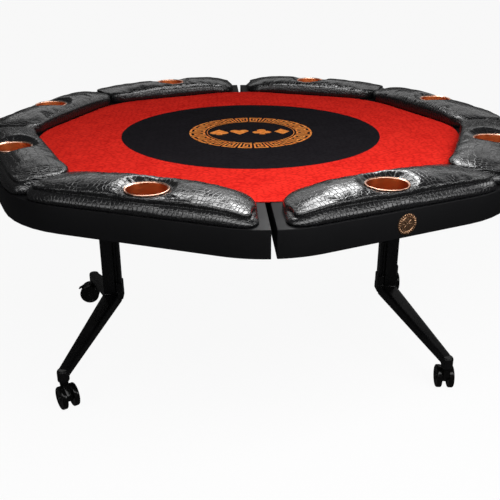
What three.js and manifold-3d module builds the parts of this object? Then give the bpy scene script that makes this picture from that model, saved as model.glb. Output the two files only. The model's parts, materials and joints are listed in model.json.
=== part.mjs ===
// Octagonal poker table that folds in half and rolls on four casters.
// Millimetres, +Z up. The origin is on the floor under the middle of the table.
// +X crosses the fold line, +Y runs along it.
import * as THREE from 'three';
import { mergeVertices } from 'three/addons/utils/BufferGeometryUtils.js';
import { ConvexGeometry } from 'three/addons/geometries/ConvexGeometry.js';
import Module from 'manifold-3d';

const wasm = await Module();
wasm.setup();

// ---- Driving dimensions -------------------------------------------------

const GAP = 0.3; // between pieces that touch
const FOLD_GAP = 6; // fold line to the apron, on each side
const EIGHTH = Math.PI / 8; // half of one side of the octagon, seen from the centre

// Octagons with rounded corners: distance to a side, and corner radius
const APRON = { apothem: 767.6, corner: 293 };
const CLOTH = { apothem: 607, corner: 281 };

// Heights of the table top
const APRON_BOTTOM = 657;
const PLATE_TOP = 723;
const CLOTH_TOP = 728;
const PAD_TOP = 764;

const APRON_WALL = 12;
const BOARD_THICKNESS = 18;

// Arm-rest pads
const PAD_OUTER_INSET = 2; // from the apron's outer face
const PAD_INNER_GAP = 2; // from the cloth's edge
const PAD_CORNER = 30;
const PAD_END_GAP = 3; // from the corner ray to a pad's end
const PAD_FOLD_GAP = 28; // the same, where the fold line passes
const PAD_ROLL = 12; // rounding of the long edges

// Cup holders
const CUP_RING_RADIUS = 702.5;
const CUP = { outer: 48, wall: 1.5, flange: 51.3, bottom: 696.5, rim: PAD_TOP + GAP, lip: 3 };
const CUP_CLEARANCE = 0.9;
const CUP_HOLE = CUP.outer + CUP_CLEARANCE;

// Emblem disc on the apron
const MEDALLION = { radius: 25, thickness: 3, along: 13, height: 689 };

// Fold mechanism, in the XZ plane
const HINGE_Z = 645; // fold hinge, on the centre line
const PIVOT = { x: -455, z: 620 }; // top pivot of the left column
const CRANK = 70; // from each upper pivot down to its lower one
const PIN_RADIUS = 8;
const PIN_CLEARANCE = 0.5;
const LINK_PIN_RADIUS = 5;
const RUNNING_CLEARANCE = 0.6; // a link or a hinge leaf on its pin
const OPEN_CLEARANCE = 1.5; // where a loop of links is left free
const LINK = { near: 36, far: 42, radius: 11 }; // y range and half width
const HANGER_RADIUS = 9;

// Column and foot
const COLUMN = { x: PIVOT.x, top: 638, bottom: 204, notch: 238.5, depth: 25, wall: 3 };
const FOOT_END = { x: -572, y: 338 };
const SOCKET = { radius: 18, bottom: 79, top: 106, bore: 5.9, cap: 4 };

// Casters
const WHEEL = { radius: 35, inner: 10, outer: 27, bore: 3.5 };
const AXLE_RADIUS = 3;
const AXLE_CLEARANCE = 0.4;
const TRAIL = 20; // from the swivel axis back to the axle
const CASTERS = [
  { name: 'front_left', x: FOOT_END.x, y: -FOOT_END.y, turn: 31, brake: false },
  { name: 'front_right', x: -FOOT_END.x, y: -FOOT_END.y, turn: 173, brake: false },
  { name: 'rear_left', x: FOOT_END.x, y: FOOT_END.y, turn: -90, brake: true },
  { name: 'rear_right', x: -FOOT_END.x, y: FOOT_END.y, turn: 176, brake: true },
];

// ---- Materials ----------------------------------------------------------

const finish = (color, roughness, metalness) => ({ color, roughness, metalness });
const BLACK_BOARD = finish(0x17171a, 0.5, 0);
const RED_CLOTH = finish(0xc61f1c, 0.9, 0);
const LEATHER = finish(0x121214, 0.25, 0);
const COPPER = finish(0xb8683f, 0.25, 1);
const BRONZE = finish(0xa9744a, 0.35, 1);
const LEG_METAL = finish(0x1a1a1b, 0.4, 0.6);
const STEEL = finish(0x8c8d90, 0.35, 1);
const CASTER_PLASTIC = finish(0x111112, 0.35, 0);
const WHEEL_PLASTIC = finish(0x0d0d0e, 0.45, 0);

// ---- Geometry helpers ---------------------------------------------------

function toSolid(geometry) {
  const bare = geometry.clone();
  bare.deleteAttribute('normal');
  bare.deleteAttribute('uv');
  const merged = mergeVertices(bare, 1e-4);
  const vertProperties = new Float32Array(merged.attributes.position.array);
  const triVerts = new Uint32Array(merged.index.array);
  return new wasm.Manifold(new wasm.Mesh({ numProp: 3, vertProperties, triVerts }));
}

function toGeometry(solid) {
  const mesh = solid.getMesh();
  const geometry = new THREE.BufferGeometry();
  geometry.setAttribute('position', new THREE.BufferAttribute(mesh.vertProperties, 3));
  geometry.setIndex(new THREE.BufferAttribute(mesh.triVerts, 1));
  geometry.computeVertexNormals();
  return geometry;
}

// Joins the added geometries and takes the cut ones away.
function combine(added, cut = []) {
  let solid = toSolid(added[0]);
  for (const geometry of added.slice(1)) {
    solid = solid.add(toSolid(geometry));
  }
  for (const geometry of cut) {
    solid = solid.subtract(toSolid(geometry));
  }
  return toGeometry(solid);
}

function block([x0, x1], [y0, y1], [z0, z1]) {
  const geometry = new THREE.BoxGeometry(x1 - x0, y1 - y0, z1 - z0);
  return geometry.translate((x0 + x1) / 2, (y0 + y1) / 2, (z0 + z1) / 2);
}

// A plate drawn in XY and raised from bottom to top.
function plate(shape, bottom, top, curveSegments = 3) {
  const options = { depth: top - bottom, bevelEnabled: false, curveSegments };
  return new THREE.ExtrudeGeometry(shape, options).translate(0, 0, bottom);
}

// A plate drawn in XZ, from y0 to y1.
function sidePlate(shape, [y0, y1], curveSegments = 5) {
  const options = { depth: y1 - y0, bevelEnabled: false, curveSegments };
  return new THREE.ExtrudeGeometry(shape, options).rotateX(Math.PI / 2).translate(0, y1, 0);
}

// Upright cylinder at (x, y).
function post(radius, x, y, [z0, z1], sides = 20) {
  const geometry = new THREE.CylinderGeometry(radius, radius, z1 - z0, sides);
  return geometry.rotateX(Math.PI / 2).translate(x, y, (z0 + z1) / 2);
}

// Cylinder along Y at (x, z).
function rod(radius, x, z, [y0, y1], sides = 12) {
  const geometry = new THREE.CylinderGeometry(radius, radius, y1 - y0, sides);
  return geometry.translate(x, (y0 + y1) / 2, z);
}

// Cylinder along X at (y, z).
function crossRod(radius, y, z, [x0, x1], sides = 20) {
  const geometry = new THREE.CylinderGeometry(radius, radius, x1 - x0, sides);
  return geometry.rotateZ(Math.PI / 2).translate((x0 + x1) / 2, y, z);
}

function ringPoints(radius, x, y, z, count = 10) {
  const points = [];
  for (let i = 0; i < count; i += 1) {
    const angle = (2 * Math.PI * i) / count;
    points.push(new THREE.Vector3(x + radius * Math.cos(angle), y + radius * Math.sin(angle), z));
  }
  return points;
}

function makeMesh(name, geometry, material) {
  const mesh = new THREE.Mesh(geometry, new THREE.MeshStandardMaterial(material));
  mesh.name = name;
  return mesh;
}

// ---- Octagon outlines ---------------------------------------------------

const cornerDistance = ({ apothem, corner }) => (apothem - corner) / Math.cos(EIGHTH);

// Draws the left half of a rounded octagon, moved in by inset and cut at x = -cut.
function traceHalf(path, octagon, inset, cut) {
  const distance = cornerDistance(octagon);
  const radius = octagon.corner - inset;
  const trim = Math.asin(cut / radius);
  for (let corner = 0; corner <= 4; corner += 1) {
    const ray = Math.PI / 2 + (corner * Math.PI) / 4;
    const start = corner === 0 ? ray + trim : ray - EIGHTH;
    const end = corner === 4 ? ray - trim : ray + EIGHTH;
    path.absarc(distance * Math.cos(ray), distance * Math.sin(ray), radius, start, end, false);
  }
  return path;
}

// The two corner roundings of one end of a pad. side is +1 or -1 along X, gap is the
// distance from the octagon's corner ray, and the pad's side of the octagon faces +Y.
function padEnd(side, gap) {
  const ray = new THREE.Vector2(side * Math.sin(EIGHTH), Math.cos(EIGHTH));
  const inward = new THREE.Vector2(-side * Math.cos(EIGHTH), Math.sin(EIGHTH));
  const offset = gap + PAD_CORNER;
  const corner = (octagon, inset, sign) => {
    const distance = cornerDistance(octagon);
    const radius = octagon.corner - inset;
    const reach = Math.sqrt((radius + sign * PAD_CORNER) ** 2 - offset ** 2);
    const large = ray.clone().multiplyScalar(distance);
    const small = ray.clone().multiplyScalar(distance + reach).addScaledVector(inward, offset);
    return { large, small, radius, angle: small.clone().sub(large).angle() };
  };
  return {
    outer: corner(APRON, PAD_OUTER_INSET, -1),
    inner: corner(CLOTH, -PAD_INNER_GAP, 1),
    endAngle: inward.clone().negate().angle(),
  };
}

function padShape(gapRight, gapLeft) {
  const shape = new THREE.Shape();
  const right = padEnd(1, gapRight);
  const left = padEnd(-1, gapLeft);
  const up = Math.PI / 2;
  const arc = (centre, radius, start, end, clockwise) => {
    shape.absarc(centre.x, centre.y, radius, start, end, clockwise);
  };
  arc(right.inner.large, right.inner.radius, up, right.inner.angle, true);
  arc(right.inner.small, PAD_CORNER, right.inner.angle + Math.PI, right.endAngle, false);
  arc(right.outer.small, PAD_CORNER, right.endAngle, right.outer.angle, false);
  arc(right.outer.large, right.outer.radius, right.outer.angle, up, false);
  arc(left.outer.large, left.outer.radius, up, left.outer.angle, false);
  arc(left.outer.small, PAD_CORNER, left.outer.angle, left.endAngle, false);
  arc(left.inner.small, PAD_CORNER, left.endAngle, left.inner.angle + Math.PI, false);
  arc(left.inner.large, left.inner.radius, left.inner.angle, up, true);
  return shape;
}

// ---- Table top, one half ------------------------------------------------

const boardBottom = PLATE_TOP - BOARD_THICKNESS;
// Directions of the left half's four sides, from the rear to the front
const SIDE_ANGLES = [5, 7, 9, 11].map((step) => step * EIGHTH);
const SIDE_NAMES = {
  left: ['rear', 'side_rear', 'side_front', 'front'],
  right: ['front', 'side_front', 'side_rear', 'rear'],
};

function apronGeometry() {
  const shape = traceHalf(new THREE.Shape(), APRON, 0, FOLD_GAP);
  shape.holes.push(traceHalf(new THREE.Path(), APRON, APRON_WALL, FOLD_GAP + APRON_WALL));
  return plate(shape, APRON_BOTTOM, PLATE_TOP);
}

function boardGeometry() {
  const inset = APRON_WALL + GAP;
  const shape = traceHalf(new THREE.Shape(), APRON, inset, FOLD_GAP + inset);
  const holes = SIDE_ANGLES.map((angle) => {
    const x = CUP_RING_RADIUS * Math.cos(angle);
    const y = CUP_RING_RADIUS * Math.sin(angle);
    return post(CUP_HOLE, x, y, [boardBottom - 1, PLATE_TOP + 1]);
  });
  return combine([plate(shape, boardBottom, PLATE_TOP)], holes);
}

function clothGeometry() {
  const shape = traceHalf(new THREE.Shape(), CLOTH, 0, GAP / 2);
  return plate(shape, PLATE_TOP + GAP, CLOTH_TOP);
}

// A padded arm rest, drawn with its side of the octagon facing +Y.
function padGeometry(gapRight, gapLeft) {
  const bottom = PLATE_TOP + GAP;
  const options = {
    depth: PAD_TOP - bottom - 2 * PAD_ROLL,
    bevelThickness: PAD_ROLL,
    bevelSize: PAD_ROLL,
    bevelOffset: -PAD_ROLL,
    bevelSegments: 1,
    curveSegments: 2,
  };
  const body = new THREE.ExtrudeGeometry(padShape(gapRight, gapLeft), options);
  body.translate(0, 0, bottom + PAD_ROLL);
  const hole = post(CUP_HOLE, 0, CUP_RING_RADIUS, [bottom - 1, PAD_TOP + 1]);
  return combine([body], [hole]);
}

// A drop-in cup with a flange that rests on the pad, its axis on Z.
function cupGeometry() {
  const inside = CUP.outer - CUP.wall;
  const floor = CUP.bottom + CUP.wall;
  const top = CUP.rim + CUP.lip;
  const profile = [
    [0, CUP.bottom],
    [CUP.outer, CUP.bottom],
    [CUP.outer, CUP.rim],
    [CUP.flange, CUP.rim],
    [CUP.flange - 1, top],
    [inside, top],
    [inside, floor],
    [0, floor],
  ];
  const points = profile.map(([radius, height]) => new THREE.Vector2(radius, height));
  return new THREE.LatheGeometry(points, 20).rotateX(Math.PI / 2);
}

// ---- Fold mechanism -----------------------------------------------------

const BRACKET = { plate: 6, halfX: 70, halfY: 60, earInner: 25.6, earOuter: 31.6, earRadius: 16 };
const RIVET_HEAD = { radius: 11, thickness: 3 };

function bracketGeometry() {
  const top = boardBottom - GAP;
  const plateBottom = top - BRACKET.plate;
  const base = block(
    [PIVOT.x - BRACKET.halfX, PIVOT.x + BRACKET.halfX],
    [-BRACKET.halfY, BRACKET.halfY],
    [plateBottom, top],
  );
  const ears = [-1, 1].map((side) => {
    const shape = new THREE.Shape();
    const foot = 2 * BRACKET.earRadius;
    shape.moveTo(PIVOT.x + foot, plateBottom + 1);
    shape.lineTo(PIVOT.x - foot, plateBottom + 1);
    shape.absarc(PIVOT.x, PIVOT.z, BRACKET.earRadius, Math.PI, 2 * Math.PI, false);
    const ends = [side * BRACKET.earInner, side * BRACKET.earOuter];
    return sidePlate(shape, ends.sort((a, b) => a - b));
  });
  const reach = BRACKET.earOuter + 1;
  const bore = rod(PIN_RADIUS + PIN_CLEARANCE, PIVOT.x, PIVOT.z, [-reach, reach]);
  return combine([base, ...ears], [bore]);
}

// The pivot rivet, with a head outside each ear.
function pinGeometry() {
  const neck = BRACKET.earOuter + GAP;
  const head = neck + RIVET_HEAD.thickness;
  return combine([
    rod(PIN_RADIUS, PIVOT.x, PIVOT.z, [-head, head]),
    rod(RIVET_HEAD.radius, PIVOT.x, PIVOT.z, [-head, -neck]),
    rod(RIVET_HEAD.radius, PIVOT.x, PIVOT.z, [neck, head]),
  ]);
}

const LEAF = { inner: 7, outer: 42, bottom: HINGE_Z + 8.7, top: APRON_BOTTOM - GAP, web: 2, margin: 3 };

// A hinge leaf on the left half, screwed under the apron. extra holds its pin, if it has one.
function leafGeometry([plateStart, plateEnd], [knuckleStart, knuckleEnd], radius, extra, bore) {
  const parts = [
    block([-LEAF.outer, -LEAF.inner], [plateStart, plateEnd], [LEAF.bottom, LEAF.top]),
    block([-LEAF.inner - LEAF.web, -1], [knuckleStart, knuckleEnd], [HINGE_Z, LEAF.top]),
    rod(radius, 0, HINGE_Z, [knuckleStart, knuckleEnd]),
    ...extra,
  ];
  const cuts = bore ? [rod(bore, 0, HINGE_Z, [knuckleStart - 1, knuckleEnd + 1])] : [];
  return combine(parts, cuts);
}

const EDGE_HINGE = { near: 458, split: 528, join: 549, far: 609, radius: 7, pin: 2.8 };

// The leaf that holds the edge hinge's pin, at the front of the left half.
function edgeLeafWithPin() {
  const end = -EDGE_HINGE.near + LEAF.margin;
  const pin = rod(EDGE_HINGE.pin, 0, HINGE_Z, [-EDGE_HINGE.far, end]);
  const span = [-EDGE_HINGE.far - LEAF.margin, end];
  return leafGeometry(span, [-EDGE_HINGE.far, -EDGE_HINGE.join], EDGE_HINGE.radius, [pin], 0);
}

// The leaf that turns on the pin, at the rear of the left half.
function edgeLeafWithBore() {
  const span = [EDGE_HINGE.near - LEAF.margin, EDGE_HINGE.far + LEAF.margin];
  const bore = EDGE_HINGE.pin + RUNNING_CLEARANCE;
  return leafGeometry(span, [EDGE_HINGE.near, EDGE_HINGE.split], EDGE_HINGE.radius, [], bore);
}

const CENTRE_HINGE = { near: 8, far: 24, radius: 9, pin: 4.5, halfPlate: 34 };

function centreLeaf() {
  const span = [-CENTRE_HINGE.halfPlate, CENTRE_HINGE.halfPlate];
  const knuckle = [CENTRE_HINGE.near, CENTRE_HINGE.far];
  const bore = CENTRE_HINGE.pin + RUNNING_CLEARANCE;
  return leafGeometry(span, knuckle, CENTRE_HINGE.radius, [], bore);
}

// A flat bar with round ends, drawn in XZ between two pivots.
function barShape(from, to, radius, bores) {
  const along = Math.atan2(to.z - from.z, to.x - from.x);
  const shape = new THREE.Shape();
  shape.absarc(from.x, from.z, radius, along + Math.PI / 2, along + 1.5 * Math.PI, false);
  shape.absarc(to.x, to.z, radius, along - Math.PI / 2, along + Math.PI / 2, false);
  for (const { at, bore } of bores) {
    shape.holes.push(new THREE.Path().absarc(at.x, at.z, bore, 0, 2 * Math.PI, true));
  }
  return shape;
}

const lowerPivot = { x: PIVOT.x, z: PIVOT.z - CRANK };
const hangerPivot = { x: 0, z: HINGE_Z - CRANK };

// The left link: from the column's stud to the hanger's lower pin.
function linkGeometry(studClearance, hangerClearance) {
  const bores = [
    { at: lowerPivot, bore: LINK_PIN_RADIUS + studClearance },
    { at: hangerPivot, bore: LINK_PIN_RADIUS + hangerClearance },
  ];
  const shape = barShape(lowerPivot, hangerPivot, LINK.radius, bores);
  return sidePlate(shape, [LINK.near, LINK.far], 6);
}

const PIN_HEAD = { radius: 8, start: LINK.far + GAP, end: LINK.far + 3 };

// The hanger under the fold hinge, with its upper and lower pins.
function hangerGeometry() {
  const top = { x: 0, z: HINGE_Z };
  const halfThick = CENTRE_HINGE.near - 0.5;
  const pinEnd = CENTRE_HINGE.far + 2;
  return combine([
    sidePlate(barShape(top, hangerPivot, HANGER_RADIUS, []), [-halfThick, halfThick]),
    rod(CENTRE_HINGE.pin, 0, HINGE_Z, [-pinEnd, pinEnd]),
    rod(LINK_PIN_RADIUS, 0, hangerPivot.z, [-PIN_HEAD.end, PIN_HEAD.end]),
    rod(PIN_HEAD.radius, 0, hangerPivot.z, [-PIN_HEAD.end, -PIN_HEAD.start]),
    rod(PIN_HEAD.radius, 0, hangerPivot.z, [PIN_HEAD.start, PIN_HEAD.end]),
  ]);
}

// ---- Leg ----------------------------------------------------------------

// Column section about its own axis, rear half: a flat box with a ribbed inner edge.
const BOX = { left: -29, right: 9 };
const SECTION_HALF = [
  [BOX.left, 23], [BOX.left + 2, 25], [BOX.right, 25], [BOX.right, 14], [12, 14], [12, 19],
  [18, 19], [18, 14], [21, 14], [21, 19], [27, 19], [29, 17],
];
const CLEAR = 40; // past the column's faces, for cuts right through it

function columnGeometry() {
  const mirrored = SECTION_HALF.map(([x, y]) => [x, -y]).reverse();
  const outline = [...SECTION_HALF, ...mirrored];
  const shape = new THREE.Shape(outline.map(([x, y]) => new THREE.Vector2(COLUMN.x + x, y)));
  const inner = COLUMN.depth - COLUMN.wall;
  const left = COLUMN.x + BOX.left + COLUMN.wall;
  const right = COLUMN.x + BOX.right - COLUMN.wall;
  const under = COLUMN.bottom - 1;
  const tube = plate(shape, COLUMN.bottom, COLUMN.top);
  const hollow = block([left, right], [-inner, inner], [under, COLUMN.top + 1]);
  const notchX = [COLUMN.x + BOX.right, COLUMN.x + CLEAR];
  const notch = block(notchX, [-CLEAR, CLEAR], [under, COLUMN.notch]);
  const bore = rod(PIN_RADIUS + PIN_CLEARANCE, PIVOT.x, PIVOT.z, [-CLEAR, CLEAR]);
  const stud = rod(LINK_PIN_RADIUS, PIVOT.x, lowerPivot.z, [inner + 1, PIN_HEAD.end]);
  const studHead = rod(PIN_HEAD.radius, PIVOT.x, lowerPivot.z, [PIN_HEAD.start, PIN_HEAD.end]);
  const drilled = combine([tube], [hollow, notch, bore]);
  return combine([drilled, stud, studHead]);
}

// The foot's hub, along X from the column's axis. The boot is its raised inner edge.
const HUB = { left: -31, right: 33, halfY: 27, bottom: 174, top: COLUMN.bottom - GAP };
const BOOT = { halfY: 24, top: COLUMN.notch - GAP };
// Side profile of an arm where it leaves the hub: distance from the column's axis, and height
const ARM_ROOT = [[-31, 174], [-31, HUB.top], [26, HUB.top], [33, 194], [27, 176], [4, 160]];
const ARM_ROOT_NEAR = 4; // from the middle plane to the profile
const ARM_ROOT_SHRINK = 0.9; // the profile's width at the hub's outer face
// Rings at the arm's lower end: radius, and height from the socket's top
const ARM_TIP = [[13, 6], [16, 0], [14, -16]];

function armGeometry(side) {
  const points = [];
  for (const [x, z] of ARM_ROOT) {
    points.push(new THREE.Vector3(COLUMN.x + x, side * ARM_ROOT_NEAR, z));
    points.push(new THREE.Vector3(COLUMN.x + x * ARM_ROOT_SHRINK, side * HUB.halfY, z));
  }
  for (const [radius, rise] of ARM_TIP) {
    points.push(...ringPoints(radius, FOOT_END.x, side * FOOT_END.y, SOCKET.top + rise));
  }
  return new ConvexGeometry(points);
}

// The cast foot: a hub under the column, and two arms that splay out and down.
function footGeometry() {
  const right = COLUMN.x + HUB.right;
  const bootLeft = COLUMN.x + BOX.right + GAP;
  const hub = block([COLUMN.x + HUB.left, right], [-HUB.halfY, HUB.halfY], [HUB.bottom, HUB.top]);
  const boot = block([bootLeft, right], [-BOOT.halfY, BOOT.halfY], [HUB.bottom, BOOT.top]);
  const added = [hub, boot];
  const bores = [];
  for (const side of [-1, 1]) {
    const y = side * FOOT_END.y;
    added.push(armGeometry(side));
    added.push(post(SOCKET.radius, FOOT_END.x, y, [SOCKET.bottom, SOCKET.top]));
    const depth = [SOCKET.bottom - 1, SOCKET.top - SOCKET.cap];
    bores.push(post(SOCKET.bore, FOOT_END.x, y, depth, 16));
  }
  return combine(added, bores);
}

// ---- Caster, stem on the Z axis, wheels trailing towards -Y --------------

const HOUSING = { halfWidth: 9, collarBottom: 68, collar: 13, stem: 5.4, stemTop: 99 };
const COLLAR_TOP = SOCKET.bottom - 0.4;
const CHEEK = [
  [12, 72], [-12, 72], [-18, 69], [-29, 56], [-38, 46],
  [-40, 32], [-31, 22], [-12, 20], [0, 31], [12, 55],
];
const BRAKE = { y: -24.5, z: 67.2, radius: 3, halfWidth: 8 };
const BRAKE_TAB = [[-24, 70], [-44, 64], [-60, 54], [-62, 51], [-57, 51], [-42, 59.5], [-26, 66]];

// Side profile, drawn with +X in place of +Y.
function profilePlate(points, halfWidth) {
  const shape = new THREE.Shape(points.map(([y, z]) => new THREE.Vector2(y, z)));
  const options = { depth: 2 * halfWidth, bevelEnabled: false };
  const geometry = new THREE.ExtrudeGeometry(shape, options).translate(0, 0, -halfWidth);
  return geometry.rotateX(Math.PI / 2).rotateZ(Math.PI / 2);
}

function housingGeometry() {
  const reach = HOUSING.halfWidth + 1;
  const hole = crossRod(AXLE_RADIUS + AXLE_CLEARANCE, -TRAIL, WHEEL.radius, [-reach, reach], 12);
  return combine([
    profilePlate(CHEEK, HOUSING.halfWidth),
    post(HOUSING.collar, 0, 0, [HOUSING.collarBottom, COLLAR_TOP], 16),
    post(HOUSING.stem, 0, 0, [HOUSING.collarBottom, HOUSING.stemTop], 12),
  ], [hole]);
}

function wheelGeometry() {
  const { radius, inner, outer, bore } = WHEEL;
  const profile = [
    [bore, inner], [radius - 3, inner], [radius, inner + 3], [radius, outer - 5],
    [radius - 4, outer - 1], [bore, outer], [bore, inner],
  ];
  const points = profile.map(([r, along]) => new THREE.Vector2(r, along));
  return new THREE.LatheGeometry(points, 20).rotateZ(-Math.PI / 2);
}

function axleGeometry() {
  const reach = WHEEL.outer + 1;
  return crossRod(AXLE_RADIUS, -TRAIL, WHEEL.radius, [-reach, reach], 12);
}

function brakeGeometry() {
  return combine([
    profilePlate(BRAKE_TAB, BRAKE.halfWidth),
    crossRod(BRAKE.radius, BRAKE.y, BRAKE.z, [-BRAKE.halfWidth, BRAKE.halfWidth], 12),
  ]);
}

function buildCaster({ name, x, y, turn, brake }) {
  const caster = new THREE.Group();
  caster.add(makeMesh(`${name}_caster_housing`, housingGeometry(), CASTER_PLASTIC));
  caster.add(makeMesh(`${name}_caster_axle`, axleGeometry(), STEEL));
  for (const [label, side] of [['wheel_a', 1], ['wheel_b', -1]]) {
    const wheel = makeMesh(`${name}_${label}`, wheelGeometry(), WHEEL_PLASTIC);
    wheel.position.set(0, -TRAIL, WHEEL.radius);
    wheel.rotation.z = side > 0 ? 0 : Math.PI;
    caster.add(wheel);
  }
  if (brake) {
    caster.add(makeMesh(`${name}_brake_lever`, brakeGeometry(), CASTER_PLASTIC));
  }
  caster.position.set(x, y, 0);
  caster.rotation.z = THREE.MathUtils.degToRad(turn);
  return caster;
}

// ---- Assembly -----------------------------------------------------------

// The right half is the left half turned half a turn about Z.
function buildHalf(side) {
  const half = new THREE.Group();
  half.add(makeMesh(`${side}_top_board`, boardGeometry(), BLACK_BOARD));
  half.add(makeMesh(`${side}_apron`, apronGeometry(), BLACK_BOARD));
  half.add(makeMesh(`${side}_play_surface`, clothGeometry(), RED_CLOTH));
  SIDE_ANGLES.forEach((angle, index) => {
    const label = `${side}_${SIDE_NAMES[side][index]}`;
    const gapRight = index === 0 ? PAD_FOLD_GAP : PAD_END_GAP;
    const gapLeft = index === 3 ? PAD_FOLD_GAP : PAD_END_GAP;
    const pad = makeMesh(`${label}_pad`, padGeometry(gapRight, gapLeft), LEATHER);
    pad.rotation.z = angle - Math.PI / 2;
    const cup = makeMesh(`${label}_cup`, cupGeometry(), COPPER);
    cup.position.set(CUP_RING_RADIUS * Math.cos(angle), CUP_RING_RADIUS * Math.sin(angle), 0);
    half.add(pad, cup);
  });
  half.add(makeMesh(`${side}_pivot_bracket`, bracketGeometry(), LEG_METAL));
  half.add(makeMesh(`${side}_pivot_pin`, pinGeometry(), STEEL));
  half.add(makeMesh(`${side}_column`, columnGeometry(), LEG_METAL));
  half.add(makeMesh(`${side}_foot`, footGeometry(), LEG_METAL));
  const withPin = side === 'left' ? 'front' : 'rear';
  const withBore = side === 'left' ? 'rear' : 'front';
  half.add(makeMesh(`${withPin}_hinge_${side}_leaf`, edgeLeafWithPin(), LEG_METAL));
  half.add(makeMesh(`${withBore}_hinge_${side}_leaf`, edgeLeafWithBore(), LEG_METAL));
  half.add(makeMesh(`centre_hinge_${side}_leaf`, centreLeaf(), LEG_METAL));
  const clearances = [RUNNING_CLEARANCE, OPEN_CLEARANCE];
  const [stud, hanger] = side === 'left' ? clearances : clearances.reverse();
  half.add(makeMesh(`${side}_link`, linkGeometry(stud, hanger), LEG_METAL));
  half.rotation.z = side === 'left' ? 0 : Math.PI;
  return half;
}

// The emblem disc stands on the right half's front side.
function buildMedallion() {
  const { radius, thickness, along, height } = MEDALLION;
  const facing = -3 * EIGHTH;
  const disc = new THREE.CylinderGeometry(radius - 1, radius, thickness, 28);
  const mesh = makeMesh('apron_medallion', disc.rotateZ(-Math.PI / 2), BRONZE);
  const out = APRON.apothem + GAP + thickness / 2;
  mesh.position.set(
    out * Math.cos(facing) - along * Math.sin(facing),
    out * Math.sin(facing) + along * Math.cos(facing),
    height,
  );
  mesh.rotation.z = facing;
  return mesh;
}

const table = new THREE.Group();
table.add(buildHalf('left'), buildHalf('right'));
table.add(makeMesh('fold_hanger', hangerGeometry(), LEG_METAL));
table.add(buildMedallion());
for (const caster of CASTERS) {
  table.add(buildCaster(caster));
}

export default table;
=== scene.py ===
"""Looks of the folding octagonal poker table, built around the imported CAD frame. Metres, +Z up."""
import json
import math
from contextlib import contextmanager

import bmesh
import bpy
import numpy as np
from mathutils import Matrix, Vector
from mathutils.kdtree import KDTree

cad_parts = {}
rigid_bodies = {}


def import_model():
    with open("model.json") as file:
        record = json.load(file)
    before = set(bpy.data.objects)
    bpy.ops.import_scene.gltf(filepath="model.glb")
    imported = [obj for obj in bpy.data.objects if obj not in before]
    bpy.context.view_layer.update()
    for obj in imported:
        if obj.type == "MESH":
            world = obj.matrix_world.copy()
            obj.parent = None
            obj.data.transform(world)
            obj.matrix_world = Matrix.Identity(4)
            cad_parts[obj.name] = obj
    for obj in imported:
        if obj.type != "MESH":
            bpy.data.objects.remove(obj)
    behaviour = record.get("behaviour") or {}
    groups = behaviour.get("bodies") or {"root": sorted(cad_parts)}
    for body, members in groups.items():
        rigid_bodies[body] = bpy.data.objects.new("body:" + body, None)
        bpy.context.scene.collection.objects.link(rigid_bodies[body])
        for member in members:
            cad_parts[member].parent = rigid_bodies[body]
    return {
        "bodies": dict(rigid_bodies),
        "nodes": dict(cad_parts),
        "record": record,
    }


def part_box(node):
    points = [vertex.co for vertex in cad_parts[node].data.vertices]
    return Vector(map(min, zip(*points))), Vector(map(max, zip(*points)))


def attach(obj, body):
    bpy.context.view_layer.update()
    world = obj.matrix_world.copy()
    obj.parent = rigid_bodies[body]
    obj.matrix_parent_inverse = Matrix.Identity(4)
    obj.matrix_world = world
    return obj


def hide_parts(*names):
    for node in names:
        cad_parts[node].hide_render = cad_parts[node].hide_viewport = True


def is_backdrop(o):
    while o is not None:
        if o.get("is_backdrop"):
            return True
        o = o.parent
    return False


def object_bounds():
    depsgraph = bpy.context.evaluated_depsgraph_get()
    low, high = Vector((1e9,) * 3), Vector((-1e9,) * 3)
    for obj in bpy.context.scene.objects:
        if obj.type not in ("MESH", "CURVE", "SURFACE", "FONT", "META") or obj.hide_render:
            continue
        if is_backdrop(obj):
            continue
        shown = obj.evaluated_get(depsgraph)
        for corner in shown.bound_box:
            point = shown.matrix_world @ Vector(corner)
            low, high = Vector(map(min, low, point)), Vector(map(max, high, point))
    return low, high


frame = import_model()
cad_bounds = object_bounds()
scene = bpy.context.scene

SIDES = ("left", "right")
SIDE_NAMES = {
    "left": ("rear", "side_rear", "side_front", "front"),
    "right": ("front", "side_front", "side_rear", "rear"),
}
CASTERS = ("front_left", "front_right", "rear_left", "rear_right")
EIGHTH = math.pi / 8
EAST, NORTH, UP = Vector((1, 0, 0)), Vector((0, 1, 0)), Vector((0, 0, 1))
SKY_ABOVE, SKY_BELOW = 0.09, 0.03
FLOOR_HALF = 40
FLOOR_ALBEDO, FLOOR_GLOW, BACKDROP_GLOW = 0.06, 0.932, 0.938


def body_of(node):
    return next(b for b, empty in frame["bodies"].items() if frame["nodes"][node].parent == empty)


def centre(node):
    low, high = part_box(node)
    return (low + high) / 2


def add_object(name, data):
    made = bpy.data.objects.new(name, data)
    scene.collection.objects.link(made)
    return made


def new_object(name, verts, faces, material=None):
    mesh = bpy.data.meshes.new(name)
    mesh.from_pydata([tuple(v) for v in verts], [], faces)
    mesh.validate()
    if material:
        mesh.materials.append(material)
    return add_object(name, mesh)


def discard(obj):
    mesh = obj.data
    bpy.data.objects.remove(obj)
    bpy.data.meshes.remove(mesh)


def polar(radius, angle):
    return radius * math.cos(angle), radius * math.sin(angle)


@contextmanager
def editing(mesh):
    """A bmesh of mesh, written back when the block ends."""
    work = bmesh.new()
    work.from_mesh(mesh)
    yield work
    work.to_mesh(mesh)
    work.free()


# ---- Camera, light and floor ----


# Solved from the photo: place in metres, then angles in degrees and the lens in millimetres.
CAMERA_PLACE = (-0.1323, -2.2008, 1.2757)
PAN, LOOK_DOWN, ROLL = -3.37, 23.10, -0.13
LENS = 52.80


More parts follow.
